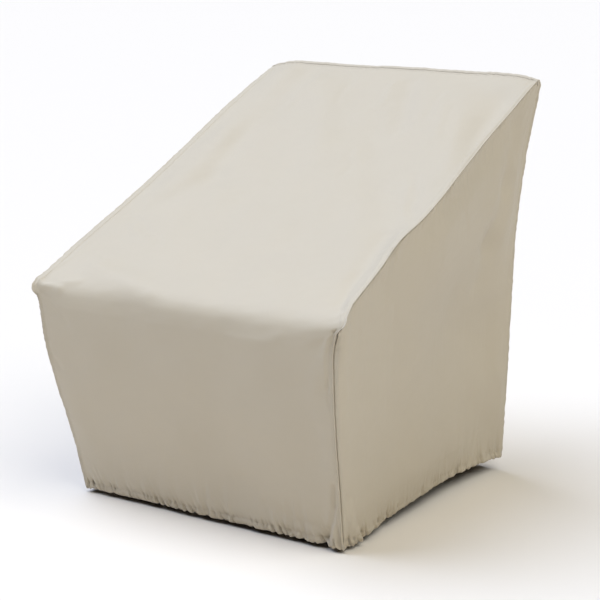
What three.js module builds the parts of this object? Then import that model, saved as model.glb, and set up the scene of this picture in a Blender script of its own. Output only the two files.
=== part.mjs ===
// Fitted outdoor cover: a hollow, sloping tent of coated cloth, sewn from four panels and open below.
// Millimetres, +Z up, front towards -Y. The sizes below count their heights from the ground, and the finished
// group is lowered so that its origin is the spot under the top edge by which the cover is held up.

import * as THREE from 'three';

// Driving dimensions
const CLOTH = 2;
const SEAM_GAP = 0.3;
const HANG_POINT = new THREE.Vector3(0, 409, 849);
const LEFT_SHARPNESS = 16;
const RIGHT_SHARPNESS = 8;
const CORNER_ROUND = 34;
const LEFT_TUCK_SHARE = 0.5;
const TIP_SKEW = { forward: 5, leftInward: 6, leftDrop: 5, rightRise: 10, reach: 130, width: 45 };
const SIDE_NORMAL_TILT = 0.07;
const SEAM_FADE = 45;
const SIDE_FADE = 22;
const BILLOW_FADE = 80;

// Hem: the elastic in it draws small puckers, and pulls each side in between its corners
const PUCKER_PITCH = 25;
const PUCKER_DEPTH = 2.6;
const PUCKER_DRIFT = { turn: 1.4, length: 43 };
const PUCKER_SWELL = { share: 0.3, length: 61 };
const PUCKER_FADE = 40;
const CASING_PUCKER_SHARE = 0.6;
const HEM_LIFT = 8;
const HEM_PULL = 12;
const HEM_PULL_REACH = 0.2;
const HEM_ARCH_SKEW = 1.15;

// Mesh steps
const COLUMNS = 30;
const STEPS_PER_PUCKER_CELL = 4;
const FRONT_STEPS = 16;
const NOSE_STEPS = 5;
const NOSE_STEPS_TO_TIP = 2;
const SLOPE_STEPS = 16;
const ROLL_STEPS = 3;
const BACK_STEPS = 18;

// Sections across the strip that runs up the front, over the nose and up the slope. The corner and the middle
// of each section are given apart, because the corners are sharper than the middle of the roll. Half is the
// half width, and tuck is how far the seam lies inside the corner.
const FRONT_HEM = [
  { cornerY: -307, cornerZ: 8, midY: -309, midZ: 11, half: 325, tuck: 6 },
  { cornerY: -311, cornerZ: 26, midY: -314, midZ: 29, half: 327, tuck: 8 },
];
const FRONT = [
  { cornerY: -311, cornerZ: 26, midY: -314, midZ: 29, half: 327, tuck: 8 },
  { cornerY: -326, cornerZ: 100, midY: -331, midZ: 100, half: 335, tuck: 12 },
  { cornerY: -346, cornerZ: 180, midY: -353, midZ: 180, half: 344, tuck: 14 },
  { cornerY: -367, cornerZ: 260, midY: -373, midZ: 255, half: 354, tuck: 16 },
  { cornerY: -385, cornerZ: 345, midY: -388, midZ: 332, half: 363, tuck: 19 },
  { cornerY: -390, cornerZ: 405, midY: -395, midZ: 388, half: 369, tuck: 23 },
  { cornerY: -391, cornerZ: 438, midY: -397, midZ: 416, half: 371, tuck: 16 },
];
const NOSE = [
  { cornerY: -391, cornerZ: 438, midY: -397, midZ: 416, half: 371, tuck: 16 },
  { cornerY: -393, cornerZ: 449, midY: -396, midZ: 432, half: 372, tuck: 7 },
  { cornerY: -392, cornerZ: 458, midY: -393, midZ: 447, half: 372, tuck: 0 },
  { cornerY: -384, cornerZ: 466, midY: -386, midZ: 460, half: 370, tuck: 0 },
  { cornerY: -371, cornerZ: 476, midY: -373, midZ: 472, half: 368, tuck: 0 },
  { cornerY: -354, cornerZ: 486, midY: -346, midZ: 488, half: 365, tuck: 0 },
];
const SLOPE = [
  { cornerY: -354, cornerZ: 486, midY: -346, midZ: 488, half: 365, tuck: 0 },
  { cornerY: -200, cornerZ: 559, midY: -196, midZ: 558, half: 359, tuck: 0 },
  { cornerY: 0, cornerZ: 655, midY: 3, midZ: 652, half: 353, tuck: 0 },
  { cornerY: 200, cornerZ: 750, midY: 202, midZ: 750, half: 347, tuck: 0 },
  { cornerY: 330, cornerZ: 810, midY: 334, midZ: 815, half: 344, tuck: 0 },
  { cornerY: 396, cornerZ: 837, midY: 399, midZ: 847, half: 342, tuck: 0 },
];
const ROLL = [
  { cornerY: 396, cornerZ: 837, midY: 399, midZ: 847, half: 342, tuck: 0 },
  { cornerY: 404, cornerZ: 839, midY: 409, midZ: 851, half: 342, tuck: 0 },
  { cornerY: 412, cornerZ: 836, midY: 419, midZ: 847, half: 341, tuck: 0 },
  { cornerY: 415, cornerZ: 827, midY: 423, midZ: 836, half: 341, tuck: 0 },
];
const BACK = [
  { cornerY: 415, cornerZ: 827, midY: 423, midZ: 836, half: 341, tuck: 0 },
  { cornerY: 379, cornerZ: 680, midY: 412, midZ: 690, half: 330, tuck: 0 },
  { cornerY: 350, cornerZ: 530, midY: 386, midZ: 530, half: 326, tuck: 0 },
  { cornerY: 341, cornerZ: 410, midY: 362, midZ: 410, half: 325, tuck: 0 },
  { cornerY: 328, cornerZ: 210, midY: 338, midZ: 210, half: 325, tuck: 0 },
  { cornerY: 316, cornerZ: 48, midY: 320, midZ: 40, half: 324, tuck: 0 },
];
const BACK_HEM = [
  { cornerY: 316, cornerZ: 48, midY: 320, midZ: 40, half: 324, tuck: 0 },
  { cornerY: 313, cornerZ: 30, midY: 316, midZ: 22, half: 323, tuck: 0 },
];

// How far the slope seams stray from the plain corner, where along counts up the slope from the nose
const RIGHT_WANDER = [
  { along: 0, inward: 0, rise: 0 },
  { along: 190, inward: 4, rise: 4 },
  { along: 270, inward: 6, rise: 8 },
  { along: 360, inward: 1, rise: 1 },
  { along: 440, inward: 0, rise: -1 },
  { along: 520, inward: 5, rise: -5 },
  { along: 610, inward: 14, rise: -14 },
  { along: 700, inward: 19, rise: -19 },
  { along: 780, inward: 13, rise: -15 },
  { along: 860, inward: 0, rise: 0 },
];
const LEFT_WANDER = [
  { along: 0, inward: 0, rise: 0 },
  { along: 130, inward: 1, rise: -1 },
  { along: 260, inward: 4, rise: -4 },
  { along: 380, inward: 6, rise: -5 },
  { along: 520, inward: 4, rise: -4 },
  { along: 680, inward: 0, rise: -1 },
  { along: 860, inward: 3, rise: 0 },
  { along: 1060, inward: 0, rise: 0 },
];

// Width of the flat facet that falls to those seams from the rest of the slope
const FACET_SOFTNESS = 0.05;
const FACET_WIDTHS = [
  { along: 0, width: 60 },
  { along: 430, width: 60 },
  { along: 520, width: 45 },
  { along: 560, width: 50 },
  { along: 820, width: 135 },
  { along: 860, width: 140 },
];

// Folds, each a soft ridge (height above zero) or trough (below) along a line, with a width to the left of it
// and one to the right. On the strip, x runs across and s along it from the nose, up the slope above zero and
// down the front below zero. On a side, y and z.
const STRIP_FOLDS = [
  { x1: -270, s1: 840, x2: -258, s2: 585, left: 34, right: 46, height: 7 },
  { x1: -258, s1: 585, x2: -270, s2: 361, left: 34, right: 46, height: 6 },
  { x1: -258, s1: 715, x2: -243, s2: 588, left: 30, right: 30, height: -3 },
  { x1: -243, s1: 588, x2: -204, s2: 431, left: 32, right: 32, height: -4 },
  { x1: -204, s1: 431, x2: -298, s2: 242, left: 32, right: 32, height: -3 },
  { x1: -156, s1: 815, x2: 4, s2: 520, left: 42, right: 42, height: 5 },
  { x1: 59, s1: 836, x2: 128, s2: 656, left: 24, right: 24, height: -5 },
  { x1: 300, s1: 800, x2: 325, s2: 640, left: 34, right: 34, height: -4 },
  { x1: 81, s1: 630, x2: 300, s2: 310, left: 44, right: 44, height: -4 },
  { x1: 340, s1: 76, x2: 305, s2: 290, left: 24, right: 24, height: -5 },
  { x1: -247, s1: 70, x2: -81, s2: 26, left: 26, right: 26, height: 5 },
  { x1: 262, s1: -130, x2: 290, s2: -250, left: 42, right: 42, height: -5 },
  { x1: -210, s1: -120, x2: -180, s2: -330, left: 60, right: 60, height: 3 },
  { x1: 60, s1: -90, x2: 90, s2: -340, left: 70, right: 70, height: -3 },
];
const SIDE_BILLOW = [
  { y1: 0, z1: 570, y2: 240, z2: 610, left: 115, right: 115, height: 20 },
  { y1: 20, z1: 300, y2: 180, z2: 300, left: 115, right: 250, height: -16 },
];
const SIDE_FOLDS = [
  { y1: 320, z1: 745, y2: 285, z2: 630, left: 26, right: 26, height: -7 },
  { y1: 285, z1: 630, y2: 229, z2: 512, left: 30, right: 30, height: -10 },
  { y1: 229, z1: 512, y2: 216, z2: 440, left: 36, right: 36, height: -7 },
  { y1: 120, z1: 390, y2: 240, z2: 330, left: 80, right: 80, height: -9 },
  { y1: -289, z1: 540, y2: -213, z2: 497, left: 30, right: 30, height: -4 },
  { y1: 180, z1: 150, y2: 280, z2: 60, left: 50, right: 50, height: -5 },
  { y1: -60, z1: 330, y2: -20, z2: 90, left: 60, right: 60, height: 4 },
];

const CLOTH_COLOUR = 0xd3cdc0;
const SIDE_COLOUR = 0xc6bfae;
const BACK_COLOUR = 0xbdb6a5;

const X_AXIS = new THREE.Vector3(1, 0, 0);

// Height of the folds at a place on a panel, where a and b name the two columns of its table
function foldHeight(folds, a, b, place) {
  let height = 0;
  for (const fold of folds) {
    const start = new THREE.Vector2(fold[a + '1'], fold[b + '1']);
    const run = new THREE.Vector2(fold[a + '2'], fold[b + '2']).sub(start);
    const from = place.clone().sub(start);
    const along = from.dot(run) / run.lengthSq();
    const aside = run.cross(from) / run.length();
    const past = (along - THREE.MathUtils.clamp(along, 0, 1)) * run.length();
    const width = aside > 0 ? fold.left : fold.right;
    const middleWidth = (fold.left + fold.right) / 2;
    height += fold.height * Math.exp(-((aside / width) ** 2) - (past / middleWidth) ** 2);
  }
  return height;
}

// Puckers that the elastic draws into the hem: a wave along it that drifts and swells, gone at the corners
function pucker(distance, toCorner, onEdge) {
  const drift = PUCKER_DRIFT.turn * Math.sin(distance / PUCKER_DRIFT.length);
  const swell = 1 + PUCKER_SWELL.share * (Math.sin(distance / PUCKER_SWELL.length) - 1);
  const wave = Math.sin((2 * Math.PI * distance) / PUCKER_PITCH + drift);
  const fade = Math.min(1, toCorner / PUCKER_FADE) * (onEdge ? 1 : CASING_PUCKER_SHARE);
  return PUCKER_DEPTH * wave * swell * fade;
}

// One stretch of the strip: its sections, joined by smooth curves, sampled in steps
function stretchRows(sections, steps, evenly) {
  const smooth = (point) => new THREE.CatmullRomCurve3(sections.map(point));
  const corner = smooth((s) => new THREE.Vector3(s.half, s.cornerY, s.cornerZ));
  const middle = smooth((s) => new THREE.Vector3(s.tuck, s.midY, s.midZ));
  const rows = [];
  for (let step = 0; step <= steps; step += 1) {
    const share = step / steps;
    const cornerPoint = evenly ? corner.getPointAt(share) : corner.getPoint(share);
    const middlePoint = evenly ? middle.getPointAt(share) : middle.getPoint(share);
    rows.push({
      half: cornerPoint.x,
      tuck: middlePoint.x,
      corner: new THREE.Vector2(cornerPoint.y, cornerPoint.z),
      middle: new THREE.Vector2(middlePoint.y, middlePoint.z),
    });
  }
  return rows;
}

// All rows of the strip, from the front hem over the top to the back hem
function stripRows() {
  const stretches = [
    stretchRows(FRONT_HEM, 1, true),
    stretchRows(FRONT, FRONT_STEPS, true),
    stretchRows(NOSE, NOSE_STEPS, false),
    stretchRows(SLOPE, SLOPE_STEPS, true),
    stretchRows(ROLL, ROLL_STEPS, false),
    stretchRows(BACK, BACK_STEPS, true),
    stretchRows(BACK_HEM, 1, true),
  ];
  const rows = stretches[0];
  for (const stretch of stretches.slice(1)) rows.push(...stretch.slice(1));
  rows[0].along = 0;
  for (let i = 1; i < rows.length; i += 1) {
    rows[i].along = rows[i - 1].along + rows[i].middle.distanceTo(rows[i - 1].middle);
  }
  const nose = rows[TIP_ROW].along;
  rows.forEach((row, i) => {
    row.along -= nose;
    const before = rows[Math.max(i - 1, 0)];
    const after = rows[Math.min(i + 1, rows.length - 1)];
    const run = after.corner.clone().sub(before.corner).normalize();
    row.tangent = new THREE.Vector3(0, run.x, run.y);
    row.normal = new THREE.Vector3().crossVectors(X_AXIS, row.tangent);
    row.skew = Math.exp(-((row.corner.distanceTo(rows[TIP_ROW].corner) / TIP_SKEW.reach) ** 2));
  });
  return rows;
}

const TIP_ROW = 1 + FRONT_STEPS + NOSE_STEPS_TO_TIP;
const TOP_SEAM_ROW = 1 + FRONT_STEPS + NOSE_STEPS + SLOPE_STEPS;
const BACK_CORNER_ROW = TOP_SEAM_ROW + ROLL_STEPS;
const ROWS = stripRows();
const LAST_ROW = ROWS.length - 1;

// A value of a table at a place along the strip
function between(table, along, value) {
  const last = table.length - 1;
  const i = THREE.MathUtils.clamp(table.findIndex((entry) => entry.along > along), 1, last);
  const before = table[i - 1].along;
  const share = THREE.MathUtils.clamp((along - before) / (table[i].along - before), 0, 1);
  return value(i - 1, share);
}

// How far a slope seam strays from the plain corner
function seamWander(row, side) {
  const table = side > 0 ? RIGHT_WANDER : LEFT_WANDER;
  const last = table.length - 1;
  if (row.along <= 0 || row.along >= table[last].along) return new THREE.Vector3();
  const curve = new THREE.CatmullRomCurve3(table.map((w) => new THREE.Vector3(w.along, w.inward, w.rise)));
  const wander = between(table, row.along, (i, share) => curve.getPoint((i + share) / last));
  return row.normal.clone().multiplyScalar(wander.z).addScaledVector(X_AXIS, -side * wander.y);
}

// How far the seam beside a corner of the nose lies from the plain corner
function tipShift(row, side) {
  const { forward, leftInward, leftDrop, rightRise } = TIP_SKEW;
  const shift = side > 0
    ? new THREE.Vector3(0, forward, rightRise)
    : new THREE.Vector3(leftInward, -forward, -leftDrop);
  return shift.multiplyScalar(row.skew);
}

// Outer edge between the strip and a side, where side is 1 on the right and -1 on the left
function cornerPoint(row, side) {
  return new THREE.Vector3(side * row.half, row.corner.x, row.corner.y)
    .add(tipShift(row, side))
    .add(seamWander(row, side));
}

// The seam runs along that edge, but down the front it lies a tuck inside it, on the front face
function seamTuck(row, side) {
  return side > 0 ? row.tuck : LEFT_TUCK_SHARE * row.tuck;
}

function plainSeamPoint(row, side) {
  return new THREE.Vector3(side * (row.half - seamTuck(row, side)), row.corner.x, row.corner.y);
}

// Share of the seam's wander that the cloth follows: all of it at the seam, falling evenly to none at the
// facet's width, with a soft crease there
function facetShare(row, toSeam) {
  const width = between(FACET_WIDTHS, row.along, (i, share) => (
    THREE.MathUtils.lerp(FACET_WIDTHS[i].width, FACET_WIDTHS[i + 1].width, share)
  ));
  return FACET_SOFTNESS * Math.log1p(Math.exp((1 - toSeam / width) / FACET_SOFTNESS));
}

// How the two panels meet at a seam: a mitre, with half of the gap on either side of it
function mitre(row, side) {
  const sideNormal = new THREE.Vector3(side, 0, -SIDE_NORMAL_TILT).normalize();
  const sum = row.normal.clone().add(sideNormal);
  const inset = sum.multiplyScalar(-CLOTH / (1 + row.normal.dot(sideNormal)));
  const part = row.normal.clone().sub(sideNormal).normalize().multiplyScalar(SEAM_GAP / 2);
  return { inset, part };
}

// A point of the strip, where u runs from -1 at the left seam to 1 at the right
function stripPoint(row, u) {
  const point = plainSeamPoint(row, -1).lerp(plainSeamPoint(row, 1), (u + 1) / 2);
  for (const side of [-1, 1]) {
    const toSeam = (1 - side * u) * row.half;
    point.addScaledVector(tipShift(row, side), Math.exp(-toSeam / TIP_SKEW.width));
    point.addScaledVector(seamWander(row, side), facetShare(row, toSeam));
  }
  const crown = 1 - Math.abs(u) ** (u < 0 ? LEFT_SHARPNESS : RIGHT_SHARPNESS);
  point.y += (row.middle.x - row.corner.x) * crown;
  point.z += (row.middle.y - row.corner.y) * crown;
  const fade = THREE.MathUtils.smoothstep((1 - Math.abs(u)) * row.half, 0, SEAM_FADE);
  const place = new THREE.Vector2(point.x, row.along);
  return point.addScaledVector(row.normal, fade * foldHeight(STRIP_FOLDS, 'x', 's', place));
}

// The vertices of the strip between two rows, with finer columns in the two rows at a hem
function stripSheet(firstRow, lastRow) {
  const sheet = [];
  for (let r = firstRow; r <= lastRow; r += 1) {
    const row = ROWS[r];
    const hemRow = r <= 1 || r >= LAST_ROW - 1;
    const columns = hemRow ? COLUMNS * STEPS_PER_PUCKER_CELL : COLUMNS;
    const line = [];
    for (let c = 0; c <= columns; c += 1) {
      const u = (2 * c) / columns - 1;
      const vertex = { point: stripPoint(row, u) };
      if (hemRow && c > 0 && c < columns) {
        const toCorner = (1 - Math.abs(u)) * row.half;
        const depth = pucker(vertex.point.x + row.half, toCorner, r === 0 || r === LAST_ROW);
        vertex.point.addScaledVector(row.normal, depth);
      }
      if (c === 0 || c === columns) {
        const { inset, part } = mitre(row, Math.sign(u));
        vertex.point.add(part);
        vertex.inset = inset;
      }
      if (r === TOP_SEAM_ROW) {
        const towards = r === firstRow ? 1 : -1;
        vertex.point.addScaledVector(row.tangent, (towards * SEAM_GAP) / 2);
        vertex.inset = vertex.inset || row.normal.clone().multiplyScalar(-CLOTH);
      }
      line.push(vertex);
    }
    sheet.push(line);
  }
  return sheet;
}

// Shares of the way along a line of points, from 0 at the first to 1 at the last
function shares(points) {
  const lengths = [0];
  for (let i = 1; i < points.length; i += 1) {
    lengths.push(lengths[i - 1] + points[i].distanceTo(points[i - 1]));
  }
  return lengths.map((length) => length / lengths[lengths.length - 1]);
}

// The four edges of a side panel, from the hem up at the front and the back, and backwards along the top
function sideEdges(side) {
  const edge = (rows) => rows.map((row) => cornerPoint(row, side));
  const front = edge(ROWS.slice(0, TIP_ROW + 1));
  const top = edge(ROWS.slice(TIP_ROW, BACK_CORNER_ROW + 1));
  const back = edge(ROWS.slice(BACK_CORNER_ROW).reverse());
  const lengths = { frontShares: shares(front), topShares: shares(top), backShares: shares(back) };
  return { side, front, top, back, ...lengths };
}

// A point of the patch stretched between those edges, at a row and at a column that may lie between two
function patchPoint(edges, row, column) {
  const { front, top, back } = edges;
  const last = top.length - 2;
  const cell = Math.min(Math.floor(column), last);
  const topShare = THREE.MathUtils.lerp(edges.topShares[cell], edges.topShares[cell + 1], column - cell);
  const hemShare = (topShare + column / (last + 1)) / 2;
  const up = (edges.frontShares[row] + edges.backShares[row]) / 2;
  const across = THREE.MathUtils.lerp(hemShare, topShare, up);
  const topPoint = top[cell].clone().lerp(top[cell + 1], column - cell);
  const hemPoint = front[0].clone().lerp(back[0], hemShare);
  const corners = front[0].clone().lerp(back[0], across)
    .lerp(front[TIP_ROW].clone().lerp(back[TIP_ROW], across), up);
  const point = hemPoint.lerp(topPoint, up).add(front[row].clone().lerp(back[row], across)).sub(corners);
  const toFront = point.distanceTo(front[row]);
  const turn = 1 - Math.min(1, toFront / CORNER_ROUND);
  point.x -= edges.side * seamTuck(ROWS[row], edges.side) * (1 - Math.sqrt(1 - turn ** 2));
  const toEdge = Math.min(toFront, point.distanceTo(back[row]), point.distanceTo(topPoint));
  return { point, across, up, toEdge };
}

// Folds and hem of a side panel, away from its seams
function shapeSide(edges, vertex, row) {
  const { point, across, up, toEdge } = vertex;
  const outward = new THREE.Vector3(edges.side, 0, -SIDE_NORMAL_TILT).normalize();
  const arch = Math.sin(Math.PI * across ** HEM_ARCH_SKEW) * Math.max(0, 1 - up / HEM_PULL_REACH) ** 2;
  point.z += HEM_LIFT * arch;
  const place = new THREE.Vector2(point.y, point.z);
  let offset = -HEM_PULL * arch;
  offset += THREE.MathUtils.smoothstep(toEdge, 0, SIDE_FADE) * foldHeight(SIDE_FOLDS, 'y', 'z', place);
  offset += THREE.MathUtils.smoothstep(toEdge, 0, BILLOW_FADE) * foldHeight(SIDE_BILLOW, 'y', 'z', place);
  if (row <= 1) {
    const hemLength = edges.back[0].y - edges.front[0].y;
    const toCorner = Math.min(across, 1 - across) * hemLength;
    offset += pucker((edges.side > 0 ? across : 1 - across) * hemLength, toCorner, row === 0);
  }
  point.addScaledVector(outward, offset);
}

function sideSheet(side) {
  const edges = sideEdges(side);
  const topCells = edges.top.length - 1;
  const sheet = [];
  for (let row = 0; row <= TIP_ROW; row += 1) {
    const perCell = row <= 1 ? STEPS_PER_PUCKER_CELL : 1;
    const line = [];
    for (let step = 0; step <= topCells * perCell; step += 1) {
      const column = step / perCell;
      const vertex = patchPoint(edges, row, column);
      let seamRow = null;
      if (row === TIP_ROW) seamRow = ROWS[TIP_ROW + column];
      else if (column === 0) seamRow = ROWS[row];
      else if (column === topCells) seamRow = ROWS[LAST_ROW - row];
      if (seamRow) {
        const { inset, part } = mitre(seamRow, side);
        vertex.point.sub(part);
        vertex.inset = inset;
      } else {
        shapeSide(edges, vertex, row);
      }
      line.push(vertex);
    }
    sheet.push(side > 0 ? line : line.reverse());
  }
  return sheet;
}

// Triangles between two neighbouring rows of vertices, where one may have several steps to one of the other
function joinRows(lower, upper) {
  const triangles = [];
  const lowerCells = lower.length - 1;
  const upperCells = upper.length - 1;
  const cells = Math.min(lowerCells, upperCells);
  const lowerPer = lowerCells / cells;
  const upperPer = upperCells / cells;
  for (let cell = 0; cell < cells; cell += 1) {
    const low = lower.slice(cell * lowerPer, (cell + 1) * lowerPer + 1);
    const high = upper.slice(cell * upperPer, (cell + 1) * upperPer + 1);
    let i = 0;
    let j = 0;
    while (i < lowerPer || j < upperPer) {
      const stepLow = j === upperPer || (i < lowerPer && (i + 1) * upperPer <= (j + 1) * lowerPer);
      if (stepLow) {
        triangles.push([low[i], low[i + 1], high[j]]);
        i += 1;
      } else {
        triangles.push([low[i], high[j + 1], high[j]]);
        j += 1;
      }
    }
  }
  return triangles;
}

// A closed sheet of cloth from its outer face: the inner face lies a cloth's thickness inside it, and a rim
// joins them. Where a vertex has an inset of its own, as along a seam, the inner face follows that.
function clothGeometry(sheet) {
  const vertices = sheet.flat();
  const number = new Map(vertices.map((vertex, i) => [vertex, i]));
  const outer = [];
  for (let r = 0; r + 1 < sheet.length; r += 1) {
    for (const triangle of joinRows(sheet[r], sheet[r + 1])) outer.push(triangle.map((v) => number.get(v)));
  }
  const normals = vertices.map(() => new THREE.Vector3());
  const edges = new Set();
  for (const [a, b, c] of outer) {
    const ab = vertices[b].point.clone().sub(vertices[a].point);
    const ac = vertices[c].point.clone().sub(vertices[a].point);
    const normal = ab.cross(ac);
    for (const v of [a, b, c]) normals[v].add(normal);
    edges.add(`${a},${b}`).add(`${b},${c}`).add(`${c},${a}`);
  }
  const inner = vertices.map((vertex, i) => {
    const inset = vertex.inset || normals[i].normalize().multiplyScalar(-CLOTH);
    return vertex.point.clone().add(inset);
  });
  const count = vertices.length;
  const triangles = outer.concat(outer.map(([a, b, c]) => [a + count, c + count, b + count]));
  for (const edge of edges) {
    const [a, b] = edge.split(',').map(Number);
    if (!edges.has(`${b},${a}`)) triangles.push([b, a, a + count], [b, a + count, b + count]);
  }
  const geometry = new THREE.BufferGeometry();
  geometry.setFromPoints(vertices.map((vertex) => vertex.point).concat(inner));
  geometry.setIndex(triangles.flat());
  geometry.computeVertexNormals();
  return geometry;
}

function clothMesh(name, sheet, colour) {
  const material = new THREE.MeshStandardMaterial({ color: colour, roughness: 0.75, metalness: 0 });
  const mesh = new THREE.Mesh(clothGeometry(sheet), material);
  mesh.name = name;
  return mesh;
}

const cover = new THREE.Group();
cover.add(clothMesh('seat_panel', stripSheet(0, TOP_SEAM_ROW), CLOTH_COLOUR));
cover.add(clothMesh('back_panel', stripSheet(TOP_SEAM_ROW, LAST_ROW), BACK_COLOUR));
cover.add(clothMesh('side_panel_right', sideSheet(1), SIDE_COLOUR));
cover.add(clothMesh('side_panel_left', sideSheet(-1), SIDE_COLOUR));
cover.position.copy(HANG_POINT).negate();
export default cover;
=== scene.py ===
"""Fitted outdoor cover: four panels of coated woven polyester, sewn and topstitched, with an elastic hem.

The panels are modelled at the sewn cloth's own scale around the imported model's solids: folds, raised seams,
puckers, the gathered hem and the thread of each row of stitches. Lengths in the tables are millimetres, with
heights counted from the ground, and every finished mesh is in metres about the point that holds the cover up.
"""

import math
from collections import namedtuple

import bpy
import numpy as np
from bpy.props import FloatProperty, FloatVectorProperty, PointerProperty
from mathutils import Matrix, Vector


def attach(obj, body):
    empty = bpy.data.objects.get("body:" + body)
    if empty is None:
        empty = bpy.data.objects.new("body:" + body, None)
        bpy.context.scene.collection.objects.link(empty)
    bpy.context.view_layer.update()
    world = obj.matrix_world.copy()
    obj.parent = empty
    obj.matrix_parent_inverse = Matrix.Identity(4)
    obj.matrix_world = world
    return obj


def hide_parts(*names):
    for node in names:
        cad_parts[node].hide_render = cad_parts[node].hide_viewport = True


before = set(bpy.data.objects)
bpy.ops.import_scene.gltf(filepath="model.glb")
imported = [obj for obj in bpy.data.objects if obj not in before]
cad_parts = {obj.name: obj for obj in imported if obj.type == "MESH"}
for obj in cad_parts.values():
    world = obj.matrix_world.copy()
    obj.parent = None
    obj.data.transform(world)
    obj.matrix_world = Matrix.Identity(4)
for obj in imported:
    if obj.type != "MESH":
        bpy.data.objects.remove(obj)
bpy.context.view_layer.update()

bl_info = {
    "name": "Fitted outdoor cover",
    "version": (1, 0, 0),
    "blender": (4, 5, 0),
    "location": "View3D > Sidebar > Cover",
    "description": "Sews the panels of a fitted outdoor cover, with raised seams and a gathered elastic hem",
    "category": "Object",
}

MM = 0.001
HANG_POINT = np.array([0.0, 409.0, 849.0])

# Where the camera stands: degrees round the cover and above the ground, and millimetres
CAMERA_TURN = 34.513
CAMERA_RISE = 12.45
CAMERA_REACH = 3540.0
CAMERA_TARGET = (9.0, 0.0, 396.0)
LENS_MM = 102.0
SENSOR_MM = 36.0

# Sections across the strip that runs up the front, over the nose, up the slope and down the back. Each has
# the half width with y and z at its corner, then how far its seam is tucked in from there, with y and z at
# its middle. Each stretch goes on from the last section of the stretch before it.
FRONT_HEM = [
    (325, -307, 8, 6, -309, 11),
    (327, -311, 26, 8, -314, 29),
]
FRONT = [
    (335, -326, 100, 12, -331, 100),
    (344, -346, 180, 14, -353, 180),
    (354, -367, 260, 16, -373, 255),
    (363, -385, 345, 19, -388, 332),
    (369, -390, 405, 23, -395, 388),
    (371, -391, 438, 16, -397, 416),
]
NOSE = [
    (372, -393, 449, 7, -396, 432),
    (372, -392, 458, 0, -393, 447),
    (370, -384, 466, 0, -386, 460),
    (368, -371, 476, 0, -373, 472),
    (365, -354, 486, 0, -346, 488),
]
SLOPE = [
    (359, -200, 559, 0, -196, 558),
    (353, 0, 655, 0, 3, 652),
    (347, 200, 750, 0, 202, 750),
    (344, 330, 810, 0, 334, 815),
    (342, 396, 837, 0, 399, 847),
]
ROLL = [
    (342, 404, 839, 0, 409, 851),
    (341, 412, 836, 0, 419, 847),
    (341, 415, 827, 0, 423, 836),
]
BACK = [
    (330, 379, 680, 0, 412, 690),
    (326, 350, 530, 0, 386, 530),
    (325, 341, 410, 0, 362, 410),
    (325, 328, 210, 0, 338, 210),
    (324, 316, 48, 0, 320, 40),
]
BACK_HEM = [
    (323, 313, 30, 0, 316, 22),
]

# Each stretch of the strip, the mesh steps along it, whether those are of one length, and how many of the
# last are cut finer for the seam that follows
Stretch = namedtuple("Stretch", "sections steps even fine")
STRETCHES = [
    Stretch(FRONT_HEM, 9, True, 0),
    Stretch(FRONT, 78, True, 0),
    Stretch(NOSE, 20, False, 0),
    Stretch(SLOPE, 118, True, 3),
    Stretch(ROLL, 9, False, 0),
    Stretch(BACK, 120, True, 0),
    Stretch(BACK_HEM, 9, True, 0),
]
FINE_CUT = 3
NOSE_STEPS_TO_TIP = 8

# The width and the depth that places across the strip and along a side are shares of
STRIP_WIDTH, SIDE_DEPTH = 690.0, 760.0
# How sharply the strip's crown falls at either seam, and how round the side is at the front corner
LEFT_SHARPNESS, RIGHT_SHARPNESS = 16, 8
CORNER_ROUND = 34
LEFT_TUCK_SHARE = 0.5
# How far the seams shift beside the nose, and how far that reaches along them and across the strip
TIP_FORWARD, TIP_LEFT_IN, TIP_LEFT_DROP, TIP_RIGHT_RISE, TIP_REACH, TIP_WIDTH = 5, 6, 5, 10, 130, 45
# How far the side's cloth leans down, and how far it faces forward at the most where the seam is tucked in
SIDE_NORMAL_TILT, FRONT_WRAP, WRAP_TUCK = 0.07, 0.85, 10

# Places up the slope from the nose, and how far inward and up the seams stray there from the plain corner
RIGHT_WANDER = [
    (0, 0, 0), (190, 4, 4), (270, 6, 8), (360, 1, 1), (440, 0, -1),
    (520, 5, -5), (610, 14, -14), (700, 19, -19), (780, 13, -15), (860, 0, 0),
]
LEFT_WANDER = [
    (0, 0, 0), (130, 1, -1), (260, 4, -4), (380, 6, -5),
    (520, 4, -4), (680, 0, -1), (860, 3, 0), (1060, 0, 0),
]

# Width of the flat facet that falls to those seams from the rest of the slope, up the slope from the nose
FACET_WIDTHS = [(0, 60), (430, 60), (520, 45), (560, 50), (820, 135), (860, 140)]

# Folds. Each runs from its first to its second point, and bow bends it to its left. Left and right are its
# widths on either hand, and height is above zero for a ridge and below for a trough. On the strip the
# points are x across and s along, from the nose up the slope above zero and down the front below. On a
# side they are y and z.
Fold = namedtuple("Fold", "x1 s1 x2 s2 bow left right height")
STRIP_FOLDS = [
    (-270, 840, -258, 585, 0, 34, 46, 7),
    (-258, 585, -270, 361, 0, 34, 46, 6),
    (-258, 715, -243, 588, 0, 30, 30, -3),
    (-243, 588, -204, 431, 0, 32, 32, -4),
    (-204, 431, -298, 242, 0, 32, 32, -3),
    (-156, 815, 4, 520, 0, 42, 42, 5),
    (59, 836, 128, 656, 0, 24, 24, -5),
    (300, 800, 325, 640, 0, 34, 34, -4),
    (81, 630, 300, 310, 0, 44, 44, -4),
    (340, 76, 305, 290, 0, 24, 24, -5),
    (-247, 70, -81, 26, 0, 26, 26, 5),
    (262, -130, 290, -250, 0, 42, 42, -5),
    (-210, -120, -180, -330, 0, 60, 60, 3),
    (60, -90, 90, -340, 0, 70, 70, -3),
]
SIDE_BILLOW = [
    (0, 570, 240, 610, 0, 115, 115, 20),
    (20, 300, 180, 300, 0, 115, 250, -16),
]
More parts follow.
